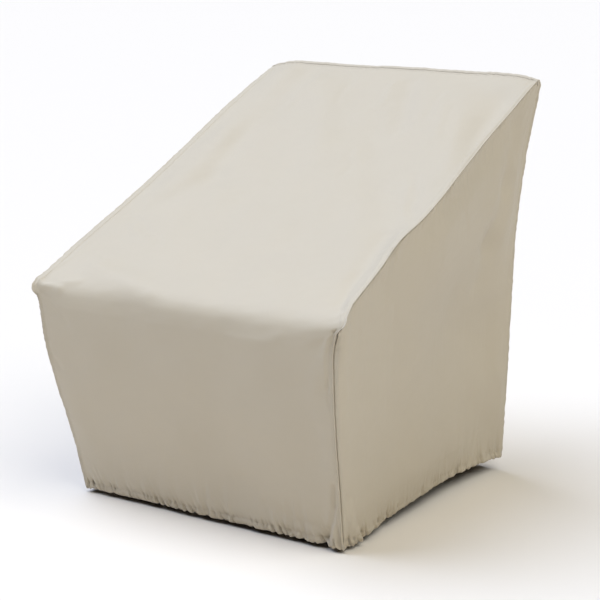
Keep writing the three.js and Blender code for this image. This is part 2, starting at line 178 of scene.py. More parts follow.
SIDE_FOLDS = [
    (320, 745, 285, 630, 0, 26, 26, -7),
    (285, 630, 229, 512, 0, 30, 30, -10),
    (229, 512, 216, 440, 0, 36, 36, -7),
    (120, 390, 240, 330, 0, 80, 80, -9),
    (-289, 540, -213, 497, 0, 30, 30, -4),
    (180, 150, 280, 60, 0, 50, 50, -5),
    (-60, 330, -20, 90, 0, 60, 60, 4),
]

# Finer creases, too small for the solids
STRIP_CREASES = [
    (-300, 255, -170, 176, 8, 6, 9, -1.6),
    (-268, 215, -205, 190, -4, 5, 7, 1.2),
    (-330, 150, -338, 60, 3, 5, 8, 1.4),
    (67, 560, 96, 470, 6, 7, 10, -1.4),
    (188, 760, 236, 640, -6, 8, 12, 1.6),
    (150, 800, 176, 700, 5, 8, 12, -1.4),
    (20, 838, 34, 742, 4, 9, 9, 1.5),
    (-90, 838, -70, 730, -4, 10, 10, -1.3),
    (-182, 840, -190, 700, 5, 9, 12, 1.4),
    (250, 500, 322, 372, 5, 8, 11, -1.8),
    (262, 452, 330, 330, -4, 6, 8, 1.4),
    (330, 300, 346, 190, 4, 6, 8, 1.5),
    (318, 170, 350, 40, -5, 7, 12, -2.2),
    (-338, 16, -262, 34, -5, 6, 9, 1.8),
    (-362, 26, -300, 3, -4, 6, 13, 4.0),
    (-345, -14, -290, -66, 6, 7, 10, -2.0),
    (-350, -40, -322, -170, -5, 7, 9, -1.4),
    (352, -30, 330, -120, 6, 7, 9, -1.6),
    (322, -70, 302, -180, -5, 9, 12, 1.3),
    (120, -40, 240, -18, -6, 10, 12, 1.5),
    (154, -392, 290, -415, 5, 8, 12, -1.8),
    (322, -318, 286, -436, 4, 5, 7, -7.0),
    (313, -366, 300, -440, -3, 6, 6, 4.6),
    (350, -12, 342, -66, 3, 4.5, 5, -4.5),
    (338, -30, 330, -90, -4, 6, 8, 2.4),
    (336, -100, 334, -330, 3, 3.2, 3.2, -2.6),
]
SIDE_CREASES = [
    (-352, 470, -300, 420, -6, 8, 12, -2.0),
    (-372, 420, -350, 320, 5, 7, 10, 1.6),
    (-230, 520, -170, 430, 6, 9, 12, -1.6),
    (-318, 120, -292, 6, 6, 7, 9, -4.5),
    (-300, 96, -262, 6, -5, 7, 9, 3.0),
    (-270, 70, -240, 6, -5, 6, 8, -3.0),
    (-386, 446, -380, 396, 3, 5, 6, -3.0),
    (-90, 600, -20, 505, 8, 8, 12, -1.7),
    (20, 650, 96, 560, 8, 9, 14, -1.8),
    (300, 760, 330, 640, -8, 9, 12, 1.8),
    (380, 800, 346, 700, 6, 8, 10, 1.6),
    (296, 300, 306, 130, -5, 9, 12, 1.6),
]
BACK_FOLDS = [
    (-250, 960, -200, 1240, 10, 40, 46, 4),
    (-130, 980, -90, 1150, -8, 34, 30, -4),
    (40, 960, 20, 1300, 12, 42, 36, 4),
    (190, 980, 150, 1190, -8, 30, 36, -4),
    (270, 1000, 240, 1320, 8, 34, 40, 5),
    (-60, 1400, 60, 1560, -10, 60, 52, -4),
    (-290, 1380, -250, 1600, 6, 30, 36, 3),
    (230, 1430, 280, 1610, -6, 34, 30, -3),
]

# Rises of the seam allowance above the seam: the loose lips at the nose corners and where the front ends
Lip = namedtuple("Lip", "side along reach rise")
SEAM_LIPS = [
    Lip(1, -26, 24, 6.5),
    Lip(1, 8, 20, 3.0),
    Lip(-1, -12, 22, 2.6),
    Lip(1, -428, 26, 2.6),
]

# Bulges of the seam's own line at the nose corners, and how far they reach into the cloth beside it
SEAM_BULGES = [
    Lip(1, -24, 11, 5.5),
    Lip(-1, 18, 15, 4.0),
    Lip(-1, -18, 14, 2.6),
]
SEAM_REACH = 18


def length_property(name, description, default, least=0.1):
    return FloatProperty(name=name, description=description + ", in mm", default=default, min=least)


class CoverSizes(bpy.types.PropertyGroup):
    """Sizes of the cloth, its seams and its hem"""

    cloth_mm: length_property("Cloth", "Thickness of the cloth", 0.8, least=0.3)
    fold_depth: FloatProperty(name="Fold depth", description="Share of the depth of folds", default=1, min=0)
    pucker_mm: length_property("Pucker", "Depth of the puckers along seams", 1.1)
    pucker_pitch_mm: length_property("Pucker pitch", "Length of a pucker along the seam", 22)
    ridge_mm: length_property("Seam ridge", "Height of the sewn edge", 1.3)
    band_mm: length_property("Slope band", "Width of the topstitched allowance on the slope", 17)
    narrow_band_mm: length_property("Narrow band", "Width of the topstitched allowance elsewhere", 9)
    casing_mm: length_property("Casing", "Height of the hem's casing", 14)
    pleat_mm: length_property("Pleat", "Depth of the hem's gathers", 2.4)
    pleat_pitch_mm: length_property("Pleat pitch", "Length of a gather along the hem", 16)
    stitch_mm: length_property("Stitch", "Length of a stitch", 3.2)
    stitch_gap_mm: length_property("Stitch gap", "Gap between stitches", 1.3)
    thread_mm: length_property("Thread", "Diameter of the sewing thread", 0.45)


def linear(colour):
    """Linear red, green and blue of an sRGB hex colour"""
    parts = [int(colour[i : i + 2], 16) / 255 for i in (0, 2, 4)]
    return [p / 12.92 if p <= 0.04045 else ((p + 0.055) / 1.055) ** 2.4 for p in parts]


def colour_property(name, description, colour):
    return FloatVectorProperty(
        name=name, description=description, subtype="COLOR", default=linear(colour), min=0, max=1
    )


class CoverColours(bpy.types.PropertyGroup):
    """Colours of the cloth, its coating, the thread and the floor"""

    cloth: colour_property("Cloth", "Face of the woven polyester", "CBC0AB")
    coating: colour_property("Coating", "Polyurethane coat on the inner face", "BDB5A6")
    thread: colour_property("Thread", "Sewing thread", "C4B9A6")
    floor: colour_property("Floor", "Plain floor of the stage", "ECE5DA")


# Curves and fields

def curve_through(points, places):
    """A centripetal Catmull-Rom curve, read at places counted in points from the first"""
    points = np.asarray(points, float)
    ends = np.vstack([2 * points[0] - points[1], points, 2 * points[-1] - points[-2]])
    cell = np.clip(places.astype(int), 0, len(points) - 2)
    share = (places - cell)[:, None]
    before, start, end, after = (ends[cell + k] for k in range(4))
    gaps = (start - before, end - start, after - end)
    first, middle, last = (np.sqrt(np.linalg.norm(gap, axis=1))[:, None] for gap in gaps)
    leave = ((start - before) / first - (end - before) / (first + middle) + (end - start) / middle) * middle
    arrive = ((end - start) / middle - (after - start) / (middle + last) + (after - end) / last) * middle
    bend = 3 * (end - start) - 2 * leave - arrive
    return start + share * leave + share**2 * bend + share**3 * (2 * (start - end) + leave + arrive)


def run_length(points):
    """Length of a line up to each of its points"""
    return np.concatenate([[0], np.cumsum(np.linalg.norm(np.diff(points, axis=0), axis=1))])


def curve_places(points, stretch):
    """Places along a curve that cut it into the steps of a stretch"""
    plain = stretch.steps - stretch.fine
    steps = np.concatenate([np.arange(plain), np.linspace(plain, stretch.steps, FINE_CUT * stretch.fine + 1)])
    if not stretch.even:
        return steps / stretch.steps * (len(points) - 1)
    fine = np.linspace(0, len(points) - 1, 100 * len(points))
    lengths = run_length(curve_through(points, fine))
    return np.interp(steps / stretch.steps * lengths[-1], lengths, fine)


def read_line(at, places, values):
    """Rows of values given at places, read at other places between them"""
    return np.stack([np.interp(at, places, column) for column in values.T], axis=-1)


def smooth(value, low, high):
    """0 up to low, 1 from high, and a smooth step between"""
    share = np.clip((value - low) / (high - low), 0, 1)
    return share * share * (3 - 2 * share)


def plateau(value, start, full, fade, end):
    """1 from full to fade, 0 up to start and from end, and smooth between"""
    return smooth(value, start, full) * (1 - smooth(value, fade, end))


def bell(value, middle, reach):
    return np.exp(-(((value - middle) / reach) ** 2))


def facet(share):
    """1 at share 0, falling evenly to 0 at share 1, with a soft crease there"""
    return 0.05 * np.logaddexp(0, (1 - share) / 0.05)


def unit(vectors):
    return vectors / np.linalg.norm(vectors, axis=-1, keepdims=True)


def ripple(x, y, length, seed, waves=7):
    """A smooth uneven field, mostly between -1 and 1, whose waves are about length long"""
    draw = np.random.default_rng(seed)
    total = np.zeros(np.broadcast(x, y).shape)
    for _ in range(waves):
        turn, phase = draw.uniform(0, 2 * math.pi, 2)
        pitch = length * draw.uniform(0.7, 1.5)
        total += np.sin(2 * math.pi / pitch * (x * math.cos(turn) + y * math.sin(turn)) + phase)
    return total / math.sqrt(waves)


def uneven_wave(along, pitch, seed):
    """A wave along a seam or hem that drifts, swells and fades as gathered cloth does"""
    drift = 2.1 * ripple(along, 0, 3.7 * pitch, seed) + 1.2 * ripple(along, 0, 2.1 * pitch, seed + 1)
    swell = 0.62 + 0.38 * ripple(along, 0, 4.3 * pitch, seed + 2)
    phase = 2 * math.pi * along / pitch + drift
    return swell * np.sin(phase + 0.5 * np.sin(phase))


def fold_relief(folds, x, s):
    """Height of the folds at points of a panel"""
    relief = np.zeros(np.broadcast(x, s).shape)
    for f in map(Fold._make, folds):
        length = math.hypot(f.x2 - f.x1, f.s2 - f.s1)
        run_x, run_s = (f.x2 - f.x1) / length, (f.s2 - f.s1) / length
        along = (x - f.x1) * run_x + (s - f.s1) * run_s
        aside = (s - f.s1) * run_x - (x - f.x1) * run_s
        share = np.clip(along / length, 0, 1)
        aside = aside - 4 * f.bow * share * (1 - share)
        past = along - share * length
        width = np.where(aside > 0, f.left, f.right)
        relief += f.height * np.exp(-((aside / width) ** 2) - (2 * past / (f.left + f.right)) ** 2)
    return relief


def crease_relief(creases, x, s, sway, seed):
    """Height of fine creases, whose lines sway a little along their way"""
    swayed = x + sway * ripple(x, s, 90, seed)
    return fold_relief(creases, swayed, s + 6 * ripple(x, s, 90, seed + 1))


# The sewn shape

def side_facing(side):
    """Outward direction of a side panel, where side is 1 on the right and -1 on the left"""
    return unit(np.array([side, 0, -SIDE_NORMAL_TILT], float))


def front_wrap(tuck):
    """Share by which the side's cloth faces as the front does, where the seam lies inside the corner"""
    return FRONT_WRAP * smooth(tuck, 0, WRAP_TUCK)


class Rows:
    """Rows across the strip, from the front hem over the nose and the top to the back hem"""

    def __init__(self):
        corner, middle, sections, starts = [], [], [], [0]
        for stretch in STRETCHES:
            sections = sections[-1:] + stretch.sections
            table = np.array(sections, float)
            for line, parts in ((corner, table[:, :3]), (middle, table[:, 3:])):
                points = curve_through(parts, curve_places(parts, stretch))
                line.extend(points[1:] if line else points)
            starts.append(len(corner) - 1)
        corner, middle = np.array(corner), np.array(middle)
        _, _, nose, _, self.top_seam, self.back_corner, _, self.last = starts
        self.tip = nose + NOSE_STEPS_TO_TIP
        self.half, self.tuck = corner[:, 0], middle[:, 0]
        self.corner, self.middle = corner[:, 1:], middle[:, 1:]
        self.along = run_length(self.middle)
        self.along -= self.along[self.tip]
        run = unit(np.gradient(self.corner, axis=0))
        zero = np.zeros(len(run))
        self.tangent = np.stack([zero, run[:, 0], run[:, 1]], axis=-1)
        self.normal = np.stack([zero, -run[:, 1], run[:, 0]], axis=-1)
        self.facet_width = np.interp(self.along, *np.array(FACET_WIDTHS, float).T)
        self.skew = bell(np.linalg.norm(self.corner - self.corner[self.tip], axis=1), 0, TIP_REACH)

    def corner_line(self, side):
        """Outer edge between the strip and a side"""
        line = np.column_stack([side * self.half, self.corner])
        return line + self.tip_shift(side) + self.wander(side)

    def tip_shift(self, side):
        """How far the seam beside a corner of the nose lies from the plain corner"""
        right, left = (0, TIP_FORWARD, TIP_RIGHT_RISE), (TIP_LEFT_IN, -TIP_FORWARD, -TIP_LEFT_DROP)
        return self.skew[:, None] * np.array(right if side > 0 else left, float)

    def wander(self, side):
        """How far the seam strays from the plain corner"""
        table = np.array(RIGHT_WANDER if side > 0 else LEFT_WANDER, float)
        wander = curve_through(table, np.interp(self.along, table[:, 0], np.arange(len(table))))
        return self.normal * wander[:, 2:] - np.array([side, 0.0, 0.0]) * wander[:, 1:2]

    def seam_tuck(self, side):
        return self.tuck * (1 if side > 0 else LEFT_TUCK_SHARE)

    def seam_line(self, side):
        line = self.corner_line(side)
        line[:, 0] -= side * self.seam_tuck(side)
        return line

    def side_normal(self, side):
        """Outward direction of the side's cloth where it meets the strip"""
        wrap = front_wrap(self.seam_tuck(side))[:, None]
        return unit(side_facing(side) * (1 - wrap) + self.normal * wrap)

    def seam_frame(self, side):
        """Directions at the seam: outwards, and across it from the strip towards the side"""
        outward = unit(self.normal + self.side_normal(side))
        return outward, unit(side * np.cross(self.tangent, outward))


ROWS = Rows()

# How the hem, the strip and the sides are cut into cells, closer together in the edges beside the seams
HEM_ROWS, HEM_CUT = 22, 3
STRIP_EDGE_STEPS, STRIP_EDGE_MM, STRIP_MIDDLE_STEPS = 18, 26.0, 104
SIDE_EDGE_STEPS, SIDE_EDGE_MM, SIDE_MIDDLE_STEPS, SIDE_ROWS = 12, 30.0, 170, 96
SIDE_HEM_SHARE, SIDE_ROW_SKEW = 0.11, 1.15

# How far from a seam the slack and the broad folds are whole, and where creases begin and are whole
SEAM_FADE, SIDE_FADE, BILLOW_FADE = 45, 22, 80
CREASE_FADE = (1, 16)
# Heights of the waves of slack cloth, and their lengths
SLACK_WAVES = [(1.1, 190), (0.5, 75), (0.16, 26)]
# Where the right-hand slope seam was pulled in, how far that reaches, and how much deeper it puckers there
PULLED_IN = [(250, 60, 1.4), (480, 80, 1.2)]
# Where along the strip the topstitched band is the wide one
WIDE_BAND = (-12, 25, 850, 880)
# Where the right-hand side lies flush with the slope, and by how much the valley beside the seam is shallower
FLUSH_SEAM, FLUSH_SHARE = (330, 430, 800, 860), 0.85
# Where that valley deepens down the front, and by how much
LOW_FRONT, LOW_FRONT_GAIN = (200, 340), 1.8
# Heights of the band and of the grooves that the stitches pull into it, and the band's share at the top seam
BAND_HEIGHT, GROOVE_DEPTH, TOP_BAND_SHARE = 1.3, 0.9, 0.4
# Places of the rows of stitches, in from the seam and in from the far edge of the band
SEAM_ROW_MM, BAND_ROW_MM = 2.8, 2.4
STRIP_HEM_SEED = 71
# How far above the hem its pleats, their fans, ticks and scallops and the bunching at its ends die out, and
# how far along the hem that bunching does
PLEAT_REACH, FAN_REACH, TICK_REACH, SCALLOP_REACH, BUNCH_REACH, BUNCH_RUN = 17, 52, 17, 26, 24, 30
# The gathers are deeper towards the corner seams, by up to this share and from this far away
CORNER_GAIN, CORNER_GAIN_RUN = 0.9, 45
# The elastic lifts the middle of a side's hem and draws it in, over this share of the side's height
HEM_LIFT, HEM_PULL, HEM_PULL_REACH, HEM_ARCH_SKEW = 8, 12, 0.2, 1.15

# The sewn edge of the strip, across the seam towards the side and outwards from it. The first part, outwards
# in shares of the ridge's height, is the ridge that shows, and the second the allowance left inside.
Edge = namedtuple("Edge", "across out")
RIDGE = [Edge(-0.9, 0.45), Edge(-0.35, 0.9), Edge(0.35, 1.0), Edge(0.95, 0.6), Edge(1.1, -0.6)]
ALLOWANCE = [Edge(0.9, -3.0), Edge(0.5, -9.0)]
SIDE_EDGE = Edge(1.7, -1.1)
TOP_RIDGE_SHARE = 0.4
# Widths of the valleys in the side's cloth beside its seams
FRONT_VALLEY_MM, SEAM_VALLEY_MM = 6.0, 2.6
# The hem's cloth turned up inside: how far in it lies, how far its fold drops, and the rows that it follows
TURN_IN_MM, TURN_DROP_MM = 2.6, 1.1
TURN_ROWS = (0, 2, 4, 6)


def sizes():
    return bpy.context.scene.cover_sizes


def colours():
    return bpy.context.scene.cover_colours


def cut_finer(places):
    """The same places with more between them, as the hem is cut finer than the rest"""
    return np.interp(np.arange(HEM_CUT * (len(places) - 1) + 1) / HEM_CUT, np.arange(len(places)), places)


def band_relief(to_seam, band):
    """Topstitched allowance: a flat raised band beside the seam, drawn down along both rows of stitches"""
    flat = plateau(to_seam, 0, 2.5, band - 1, band + 2.5)
    rows = bell(to_seam, SEAM_ROW_MM, 1.2) + 1.5 * bell(to_seam, band - 1.6, 1.7)
    return BAND_HEIGHT * flat - GROOVE_DEPTH * rows


def pucker_relief(to_seam, along, reach, seed):
    """Puckers that the stitching draws into the cloth beside a seam"""
    s = sizes()
    wave = uneven_wave(along + 0.4 * to_seam, s.pucker_pitch_mm, seed)
    return s.pucker_mm * wave * np.exp(-to_seam / reach) * smooth(to_seam, 0, 3)


def slope_gain(along):
    """How much deeper the puckers of the right-hand slope seam are"""
    return sum((gain * bell(along, place, reach) for place, reach, gain in PULLED_IN), 1)


def cloth_relief(x, s, seed):
    """Slack of the cloth: broad shallow waves and a little crumple"""
    return sum(height * ripple(x, s, length, seed + k) for k, (height, length) in enumerate(SLACK_WAVES))


def hem_relief(run, height, to_corner, seed):
    """Gathers of the elastic hem: a plump casing, nipped in along its stitches, with pleats above it"""
    s = sizes()
    above = np.maximum(height - s.casing_mm, 0)
    inside = np.clip(height / s.casing_mm, 0, 1)
    pleats = uneven_wave(run + 0.15 * height, s.pleat_pitch_mm, seed) * np.exp(-above / PLEAT_REACH)
    fans = uneven_wave(run - 0.2 * height, 2.6 * s.pleat_pitch_mm, seed + 5) * np.exp(-height / FAN_REACH)
    nips = np.clip(1.3 * uneven_wave(run + 0.1 * height, 0.9 * s.pleat_pitch_mm, seed + 9), 0, 1) ** 3
    plump = 1.3 * np.sin(math.pi * inside) * (height < s.casing_mm)
    pinch = (0.5 + 4.6 * nips) * bell(height, s.casing_mm, 2.6 + 4 * nips)
    ticks = np.clip(1.35 * uneven_wave(run + 0.3 * height, 1.3 * s.pleat_pitch_mm, seed + 17), 0, 1) ** 4
    bunch = uneven_wave(run, 0.55 * s.pleat_pitch_mm, seed + 13)
    bunch = bunch * np.exp(-to_corner / BUNCH_RUN - height / BUNCH_REACH)
    held = smooth(to_corner, 0, 9) * (1 + CORNER_GAIN * np.exp(-to_corner / CORNER_GAIN_RUN))
    gathers = s.pleat_mm * ((0.6 + 0.4 * inside) * pleats + 0.75 * fans)
    gathers -= 2.6 * s.pleat_mm * ticks * bell(height, 0, TICK_REACH)
    return held * (gathers - pinch) + 0.9 * s.pleat_mm * smooth(to_corner, 0, 3) * bunch + plump


def hem_scallop(run, height, to_corner, seed):
    """How far the gathered edge rises and falls along its length"""
    wave = uneven_wave(run, sizes().pleat_pitch_mm, seed + 3) + 0.8 * uneven_wave(run, 41, seed + 4)
    return 1.3 * smooth(to_corner, 0, 12) * wave * np.exp(-height / SCALLOP_REACH)


def with_rises(height, rises, side, along):
    """The height along a seam with the rises on that side added to it"""
    return sum((lip.rise * bell(along, lip.along, lip.reach) for lip in rises if lip.side == side), height)


def ridge_height(side, along):
    """How far the sewn edge stands out, with the loose lips at the corners"""
    plain = sizes().ridge_mm * (1 + 0.3 * ripple(along, 0, 55, 31 + side))
    return with_rises(plain, SEAM_LIPS, side, along)


def seam_wobble(side, along):
    """How far the seam stands out from its plain line: a little waviness, and bulges at the corners"""
    waviness = 0.7 * uneven_wave(along, sizes().pucker_pitch_mm, 40 + side)
    return with_rises(waviness, SEAM_BULGES, side, along)


def seam_gap(side, along):
    """How deep the side's cloth lies beside the sewn edge: least where it lies flush up the right-hand slope,
    and most low down the front"""
    flush = FLUSH_SHARE * plateau(along, *FLUSH_SEAM) * (side > 0)
    return 1 - flush + LOW_FRONT_GAIN * smooth(-along, *LOW_FRONT)


def seam_points(side):
    """The seam between the strip and a side, its directions outwards and across, and its offset outwards"""
    outward, across = ROWS.seam_frame(side)
    offset = outward * seam_wobble(side, ROWS.along)[:, None]
    return ROWS.seam_line(side) + offset, outward, across, offset


def strip_relief(x, row, u, top_seam_side):
    """Height of the strip's cloth over its plain sections"""
    s = sizes()
    along = ROWS.along[row][:, None]
    to_seam = (1 - np.abs(u)) * ROWS.half[row][:, None]
    folds = fold_relief(STRIP_FOLDS, x, along) + fold_relief(BACK_FOLDS, x, along)
    relief = smooth(to_seam, 0, SEAM_FADE) * (s.fold_depth * folds + cloth_relief(x, along, seed=3))
    creases = crease_relief(STRIP_CREASES, x, along, sway=5, seed=8)
    relief += smooth(to_seam, *CREASE_FADE) * s.fold_depth * creases
    band = s.narrow_band_mm + (s.band_mm - s.narrow_band_mm) * plateau(along, *WIDE_BAND)
    relief += band_relief(to_seam, band)
    for side in (-1, 1):
        gain = np.where(u * side > 0, slope_gain(along) if side > 0 else 1, 0)
        relief += gain * pucker_relief(to_seam, along, reach=15, seed=50 + side)
    to_top = top_seam_side * (ROWS.along[ROWS.top_seam] - along)
    near_top = smooth(to_seam, 2, 10) * (to_top >= 0)
    relief += near_top * pucker_relief(np.abs(to_top), x, reach=16, seed=60)
    if top_seam_side > 0:
        relief += TOP_BAND_SHARE * near_top * band_relief(np.abs(to_top), s.narrow_band_mm)
    across = x + ROWS.half[row][:, None]
    return relief + hem_relief(across, height_over_hem(row)[:, None], to_seam, STRIP_HEM_SEED)


def height_over_hem(row):
    """Length of cloth between a row and the nearer hem"""
    return np.minimum(ROWS.along[row] - ROWS.along[0], ROWS.along[-1] - ROWS.along[row])


def plain_seam(side, row):
    """The seam as it would run without its shift at the nose and without its wander"""
    return (ROWS.seam_line(side) - ROWS.tip_shift(side) - ROWS.wander(side))[row][:, None]


def strip_cloth(row, u, top_seam_side):
    """Points of the strip at those rows, where u runs from -1 at the left seam to 1 at the right"""
    left, right = plain_seam(-1, row), plain_seam(1, row)
    u = np.broadcast_to(u, (len(row), np.shape(u)[-1]))
    half = ROWS.half[row][:, None]
    points = left + (right - left) * ((u + 1) / 2)[..., None]
    for side in (-1, 1):
        to_seam = ((1 - side * u) * half)[..., None]
        points += seam_points(side)[3][row][:, None] * np.exp(-to_seam / SEAM_REACH)
        points += ROWS.tip_shift(side)[row][:, None] * np.exp(-to_seam / TIP_WIDTH)
        points += ROWS.wander(side)[row][:, None] * facet(to_seam / ROWS.facet_width[row][:, None, None])
    crown = 1 - np.abs(u) ** np.where(u < 0, LEFT_SHARPNESS, RIGHT_SHARPNESS)
    points[..., 1:] += (ROWS.middle - ROWS.corner)[row][:, None] * crown[..., None]
    relief = strip_relief(points[..., 0], row, u, top_seam_side)
    to_seam, over_hem = (1 - np.abs(u)) * half, height_over_hem(row)[:, None]
    scallop = hem_scallop(points[..., 0] + half, over_hem, to_seam, STRIP_HEM_SEED)
    points += ROWS.normal[row][:, None] * relief[..., None]
    return points + ROWS.tangent[row][:, None] * (top_seam_side * scallop)[..., None]


def sewn_edge(side, row):
    """The ridge and the allowance of the strip along a seam"""
    line, outward, across, _ = (part[row] for part in seam_points(side))
    height = ridge_height(side, ROWS.along[row])
    rings = [across * e.across + outward * (e.out * height)[:, None] for e in RIDGE]
    rings += [across * e.across + outward * e.out for e in ALLOWANCE]
    return line[:, None] + np.stack(rings, axis=1)


def edge_reach():
    """Length of cloth in the sewn edge, up to each of its rings"""
    height = sizes().ridge_mm
    ring = [(0, 0)] + [(e.across, e.out * height) for e in RIDGE] + [tuple(e) for e in ALLOWANCE]
    return run_length(np.array(ring, float))[1:]


def strip_band(row, u, top_seam_side):
    """The strip's cloth and sewn edges at those rows, with their places when cut flat and along a row"""
    cloth = strip_cloth(row, u[1:-1], top_seam_side)
    left, right = sewn_edge(-1, row)[:, ::-1], sewn_edge(1, row)
    points = np.concatenate([left, cloth, right], axis=1)
    reach = edge_reach()
    past = 2 * reach / STRIP_WIDTH
    across = np.concatenate([-1 - past[::-1], u[1:-1], 1 + past])
    flat = np.stack(np.broadcast_arrays(across * ROWS.half[row][:, None], ROWS.along[row][:, None]), axis=-1)
    return points, flat, across


class Cloth:
    """Rows of points of one panel, from which its mesh is made"""

    def __init__(self):
        self.points, self.flat, self.places = [], [], []

    def add(self, points, flat, places):
        """Rows of points, with their places in the flat cut and their places along a row"""
        self.points += list(points)
        self.flat += list(flat)
        self.places += [places] * len(points)

    def faces(self):
        starts = np.concatenate([[0], np.cumsum([len(p) for p in self.points])])
        faces = []
        for r in range(len(self.points) - 1):
            low = np.arange(starts[r], starts[r + 1])
            high = np.arange(starts[r + 1], starts[r + 2])
            if len(low) == len(high):
                faces += np.stack([low[:-1], low[1:], high[1:], high[:-1]], axis=1).tolist()
            else:
                faces += zip_rows(low, self.places[r], high, self.places[r + 1])
        return faces


def zip_rows(low, low_at, high, high_at):
    """Triangles between two rows of vertices of which one has more"""
    faces = []
    i = j = 0
    while i + 1 < len(low) or j + 1 < len(high):
        step_low = j + 1 == len(high) or (
            i + 1 < len(low) and low_at[i] + low_at[i + 1] <= high_at[j] + high_at[j + 1]
        )
        if step_low:
            faces.append([int(low[i]), int(low[i + 1]), int(high[j])])
            i += 1
        else:
            faces.append([int(low[i]), int(high[j + 1]), int(high[j])])
            j += 1
    return faces


def turned_in(points, flat, inward, down):
    """The hem's cloth turned up inside: rows from its raw edge to the bottom of the casing"""
    rows = [points[r] + inward[r] * TURN_IN_MM for r in TURN_ROWS[::-1]]
    rows.append(points[0] + inward[0] * TURN_IN_MM / 2 + down * TURN_DROP_MM)
    below = [2 * flat[0] - flat[r] - (flat[1] - flat[0]) for r in TURN_ROWS[::-1]]
    below.append(flat[0] - (flat[1] - flat[0]) / 2)
    return rows, below


def strip_columns():
    """Places across the strip from -1 to 1, closer together beside either seam"""
    edge = np.linspace(0, STRIP_EDGE_MM, STRIP_EDGE_STEPS + 1)
    middle = np.linspace(STRIP_EDGE_MM, STRIP_WIDTH - STRIP_EDGE_MM, STRIP_MIDDLE_STEPS + 1)
    return 2 * np.concatenate([edge, middle[1:-1], STRIP_WIDTH - edge[::-1]]) / STRIP_WIDTH - 1


def seat_cloth():
    """Front, nose and slope in one length of cloth, from the front hem to the top seam"""
    cloth = Cloth()
    u = strip_columns()
    hem = np.arange(HEM_ROWS)
    points, flat, places = strip_band(hem, cut_finer(u), 1)
    inward = -ROWS.normal[hem][:, None]
    rows, below = turned_in(points, flat, inward, -ROWS.tangent[0])
    cloth.add(rows, below, places)
    cloth.add(points, flat, places)
    main = np.arange(HEM_ROWS, ROWS.top_seam + 1)
    points, flat, places = strip_band(main, u, 1)
    cloth.add(points, flat, places)
    end, outward, along = points[-1], ROWS.normal[ROWS.top_seam], ROWS.tangent[ROWS.top_seam]
    for edge, step in zip(RIDGE + ALLOWANCE, edge_reach()):
        rise = edge.out * (TOP_RIDGE_SHARE * sizes().ridge_mm if edge in RIDGE else 1)
        cloth.add([end + along * edge.across + outward * rise], [flat[-1] + [0, step]], places)
    return cloth


def back_cloth():
    """The back panel, from just past the top seam to the back hem"""
    cloth = Cloth()
    u = strip_columns()
    main = np.arange(ROWS.top_seam, ROWS.last - HEM_ROWS + 1)
    points, flat, places = strip_band(main, u, -1)
    tangent, normal = ROWS.tangent[ROWS.top_seam], ROWS.normal[ROWS.top_seam]
    points[0] += tangent * SIDE_EDGE.across + normal * SIDE_EDGE.out * TOP_RIDGE_SHARE
    cloth.add(points, flat, places)
    hem = np.arange(ROWS.last - HEM_ROWS + 1, ROWS.last + 1)
    points, flat, places = strip_band(hem, cut_finer(u), -1)
    rows, below = turned_in(points[::-1], flat[::-1], -ROWS.normal[hem[::-1]][:, None], ROWS.tangent[-1])
    cloth.add(points, flat, places)
    cloth.add(rows[::-1], below[::-1], places)
    return cloth


